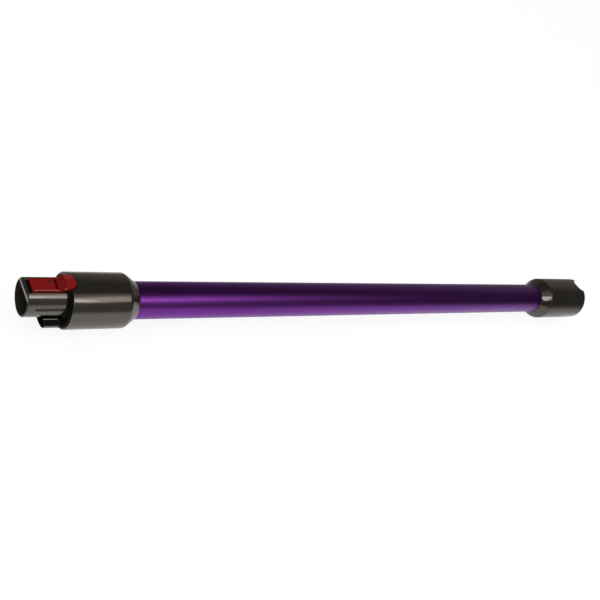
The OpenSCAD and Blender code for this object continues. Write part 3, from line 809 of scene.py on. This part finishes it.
class WAND_OT_connector(bpy.types.Operator):
    """Builds the connector's nose, its bulkhead and its contacts"""

    bl_idname = "wand.connector"
    bl_label = "Connector"

    def execute(self, context):
        nose = smooth_copy("plug_housing", "connector_nose")
        for way in (-1, 1):
            top_edge = [(0.0141, -0.0112), (0.0173, -0.0142), (0.02, -0.0112)]
            belly = [(0.01855, -0.0161), (0.0156, -0.03), (0.02, -0.03), (0.02, -0.0161)]
            for name, outline in (("top_edge", top_edge), ("belly", belly)):
                carve(nose, prism(name, [(way * y, z) for y, z in outline], 0.017, 0.0337))
        soften(nose, 0.00015, 3, 35)
        place(nose, "wand", black_gloss(), "plug_housing")
        for side in ("left", "right"):
            place_copy("plug_contact_" + side, "contact_sleeve_" + side, turned_brass(), 0.0001)
        dress("plug_cover", black_moulding())
        return {"FINISHED"}


class WAND_OT_socket(bpy.types.Operator):
    """Builds the moulding, pins and seal inside the cuff"""

    bl_idname = "wand.socket"
    bl_label = "Socket"

    def execute(self, context):
        place_copy("socket", "socket_body", black_moulding(), 0.00018, 2, 35)
        place_copy("receptacle_housing", "pin_block", black_moulding(), 0.0003, 3)
        place_copy("socket_seal", "face_seal", soft_rubber(), 0.0003, 3)
        for side in ("left", "right"):
            place_copy("contact_pin_" + side, "pin_" + side, turned_brass(), 0.0001)
        dress("receptacle_cover", black_moulding())
        return {"FINISHED"}


class WAND_OT_hidden(bpy.types.Operator):
    """Finishes the duct, the wires and the gaskets inside the wand"""

    bl_idname = "wand.hidden"
    bl_label = "Inner pieces"

    def execute(self, context):
        dress("wire_duct", black_moulding())
        dress("positive_wire", wire_sleeve("red_sleeve", (0.45, 0.02, 0.02)))
        dress("negative_wire", wire_sleeve("black_sleeve", (0.015, 0.015, 0.016)))
        for node in ("spigot_gasket", "socket_gasket"):
            dress(node, soft_rubber())
        return {"FINISHED"}


class WAND_OT_fasteners(bpy.types.Operator):
    """Builds the screws behind the connectors and the rivets that hold the tube"""

    bl_idname = "wand.fasteners"
    bl_label = "Screws and rivets"

    def execute(self, context):
        head, head_r = 0.0017, 0.0021
        for node, name, way in (("plug_screws", "nose_screws", 1), ("receptacle_screws", "block_screws", -1)):
            low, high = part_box(node)
            tip = low.x if way > 0 else high.x
            across = high.y - head_r
            piece = run_nodes(name, fastener_tree(), plated_steel(), {
                "Shank length": high.x - low.x - head, "Head height": head, "Head radius": head_r,
                "Start": (tip, -across, (low.z + high.z) / 2), "Step": (0.0, 2 * across, 0.0),
                "First turn": (0.0, way * math.pi / 2, 0.0)})
            place(piece, "wand", plated_steel(), node)
        for node, name in (("spigot_rivets", "front_rivets"), ("socket_rivets", "rear_rivets")):
            low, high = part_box(node)
            piece = run_nodes(name, fastener_tree(), plated_steel(), {
                "Shank radius": 0.0016, "Shank length": 0.0036, "Base": 0.0144, "Has recess": False,
                "Head radius": 0.0028, "Head top radius": 0.0018, "Head height": 0.0009,
                "Start": ((low.x + high.x) / 2, 0.0, (low.z + high.z) / 2),
                "First turn": (math.pi / 2, 0.0, 0.0), "Turn step": (math.pi, 0.0, 0.0)})
            place(piece, "wand", plated_steel(), node)
        return {"FINISHED"}


def floor_paper(shadow):
    """White and faintly shaded to the camera. In gloss it is grey paper that fades away."""
    mat = bpy.data.materials.new("floor_paper")
    tree, out = emptied(mat, "ShaderNodeOutputMaterial")
    paper = add(tree, "ShaderNodeBsdfDiffuse", Color=(0.9, 0.9, 0.9, 1)).outputs["BSDF"]
    glow = add(tree, "ShaderNodeEmission", Strength=1.03).outputs["Emission"]
    lit = add(tree, "ShaderNodeMixShader", shadow, glow, paper).outputs["Shader"]
    spot = object_position(tree)
    # In gloss the paper darkens to the front, past both ends and behind the wand
    shade = 1.0
    for fade in (((0.3, -0.954, 0.0), 0.05, 0.6, 1.0, 0.45), ((1.0, 0.0, 0.0), 0.7, 1.0, 1.0, 0.35),
                 ((-1.0, 0.0, 0.0), 0.0, 0.06, 1.0, 0.15), ((0.0, 1.0, 0.0), 0.02, 0.12, 1.0, 0.4)):
        shade = maths(tree, "MULTIPLY", shade, fade_across(tree, spot, *fade))
    # It glows close by the wand
    near = maths(tree, "MULTIPLY", shade,
                 fade_across(tree, spot, (0.0, -1.0, 0.0), 0.012, 0.06, 0.35, 0.0))
    dull = add(tree, "ShaderNodeBsdfDiffuse", Color=shade).outputs["BSDF"]
    bright = add(tree, "ShaderNodeEmission", Strength=near).outputs["Emission"]
    faded = add(tree, "ShaderNodeAddShader", dull, bright).outputs["Shader"]
    gloss = split_rays(tree, faded, paper, "Is Glossy Ray")
    feed(tree, out, Surface=split_rays(tree, lit, gloss, "Is Camera Ray", "Is Transmission Ray"))
    return mat


def studio_world(studio):
    """White behind the object. In gloss the room is dim, with paler walls and glows."""
    world = bpy.data.worlds.new("studio")
    tree, out = emptied(world, "ShaderNodeOutputWorld")
    ray = add(tree, "ShaderNodeTexCoord").outputs["Generated"]
    total = fade_across(tree, ray, (0.0, 0.0, 1.0), -1.0, -0.9, 0.0, studio.ceiling)
    for direction, start, end, brightness in (
            ((0.422, -0.503, 0.755), 0.955, 0.998, studio.softbox / 2),
            ((-0.28, -0.33, 0.9), 0.957, 0.985, studio.skylight),
            ((0.82, 0.51, 0.26), 0.76, 0.95, studio.far_wall),
            ((0.3, -0.93, 0.2), 0.88, 0.96, studio.near_wall),
            ((0.0, 1.0, 0.0), 0.6, 0.95, studio.far_wall * 0.8)):
        glow = fade_across(tree, ray, direction, start, end, 0.0, brightness)
        total = maths(tree, "ADD", total, glow)
    white, fill, room = [
        add(tree, "ShaderNodeBackground", Color=colour, Strength=strength).outputs["Background"]
        for colour, strength in (((1.0, 1.0, 1.0, 1), 1.0), ((1.0, 0.98, 0.96, 1), studio.fill),
                                 ((1.0, 0.94, 0.86, 1), total))]
    gloss = split_rays(tree, room, fill, "Is Glossy Ray")
    feed(tree, out, Surface=split_rays(tree, white, gloss, "Is Camera Ray"))
    return world


def panel_light(name, centre, aim, size, brightness, colour, in_gloss=True):
    """A rectangular soft light whose face is as bright as it is told, white being 1."""
    data = bpy.data.lights.new(name, "AREA")
    data.shape = "RECTANGLE"
    data.size, data.size_y = size
    data.energy = brightness * math.pi * size[0] * size[1]
    data.color = colour
    lamp = bpy.data.objects.new(name, data)
    bpy.context.scene.collection.objects.link(lamp)
    lamp.location = centre
    lamp.rotation_euler = (Vector(aim) - Vector(centre)).to_track_quat("-Z", "Y").to_euler()
    lamp.visible_glossy = in_gloss
    lamp.visible_camera = False


def photo_camera():
    """The camera at the photograph's angle."""
    data = bpy.data.cameras.new("camera")
    data.lens = CAMERA_LENS
    data.sensor_width = 36.0
    data.clip_start = 0.01
    data.clip_end = 100.0
    camera = bpy.data.objects.new("camera", data)
    bpy.context.scene.collection.objects.link(camera)
    ahead = Vector(CAMERA_AHEAD).normalized()
    right = ahead.cross(Vector(CAMERA_UP)).normalized()
    axes = Matrix((right, right.cross(ahead), -ahead)).transposed()
    camera.matrix_world = Matrix.Translation(CAMERA_AT) @ axes.to_4x4()
    return camera


class WAND_OT_stage(bpy.types.Operator):
    """Sets up the floor, the light and the camera"""

    bl_idname = "wand.stage"
    bl_label = "Stage"

    def execute(self, context):
        scene = context.scene
        studio = scene.wand_studio
        scene.view_settings.view_transform = "Standard"
        corners = [(x, y, FLOOR_Z) for x, y in rectangle(-30, 30, -30, 30)]
        floor = new_piece("floor", corners, [(0, 1, 2, 3)])
        floor.data.materials.append(floor_paper(studio.shadow))
        scene.world = studio_world(studio)
        panel_light("softbox", (0.684, -0.962, 1.071), (0.054, 0.008, 0.011), (0.5, 0.51),
                    studio.softbox, (1.0, 0.93, 0.87))
        panel_light("softbox_hot_end", (0.534, -1.061, 1.025), (0.0, 0.0, 0.0), (0.14, 0.26),
                    studio.hot_end, (1.0, 0.99, 0.99))
        panel_light("left_softbox", (0.24, -1.03, 0.93), (0.695, -0.017, 0.013), (0.3, 0.58),
                    studio.left_softbox, (1.0, 0.96, 0.95))
        panel_light("overhead", (0.4, -0.3, 2.6), (0.4, 0.0, 0.0), (3.2, 3.2),
                    studio.overhead, (1.0, 0.99, 0.97), in_gloss=False)
        scene.camera = photo_camera()
        return {"FINISHED"}


# Panel and registration.


OPERATORS = (WAND_OT_tube, WAND_OT_shells, WAND_OT_spigot, WAND_OT_catch, WAND_OT_connector,
             WAND_OT_socket, WAND_OT_hidden, WAND_OT_fasteners, WAND_OT_stage)


class WAND_PT_panel(bpy.types.Panel):
    """Lists the wand's sizes, finishes and building steps"""

    bl_idname = "WAND_PT_panel"
    bl_label = "Extension Wand"
    bl_space_type = "VIEW_3D"
    bl_region_type = "UI"
    bl_category = "Wand"

    def draw(self, context):
        for group in (context.scene.wand_sizes, context.scene.wand_finishes, context.scene.wand_studio):
            box = self.layout.box()
            for key in group.__annotations__:
                box.prop(group, key)
        for operator in OPERATORS:
            self.layout.operator(operator.bl_idname)


GROUPS = (WandSizes, WandFinishes, StudioSettings)


def register():
    for cls in GROUPS + OPERATORS + (WAND_PT_panel,):
        bpy.utils.register_class(cls)
    bpy.types.Scene.wand_sizes = bpy.props.PointerProperty(type=WandSizes)
    bpy.types.Scene.wand_finishes = bpy.props.PointerProperty(type=WandFinishes)
    bpy.types.Scene.wand_studio = bpy.props.PointerProperty(type=StudioSettings)


def unregister():
    del bpy.types.Scene.wand_sizes
    del bpy.types.Scene.wand_finishes
    del bpy.types.Scene.wand_studio
    for cls in reversed(GROUPS + OPERATORS + (WAND_PT_panel,)):
        bpy.utils.unregister_class(cls)


def main():
    register()
    bpy.ops.wand.tube()
    bpy.ops.wand.shells()
    bpy.ops.wand.spigot()
    bpy.ops.wand.catch()
    bpy.ops.wand.connector()
    bpy.ops.wand.socket()
    bpy.ops.wand.hidden()
    bpy.ops.wand.fasteners()
    bpy.ops.wand.stage()


if __name__ == "__main__":
    main()
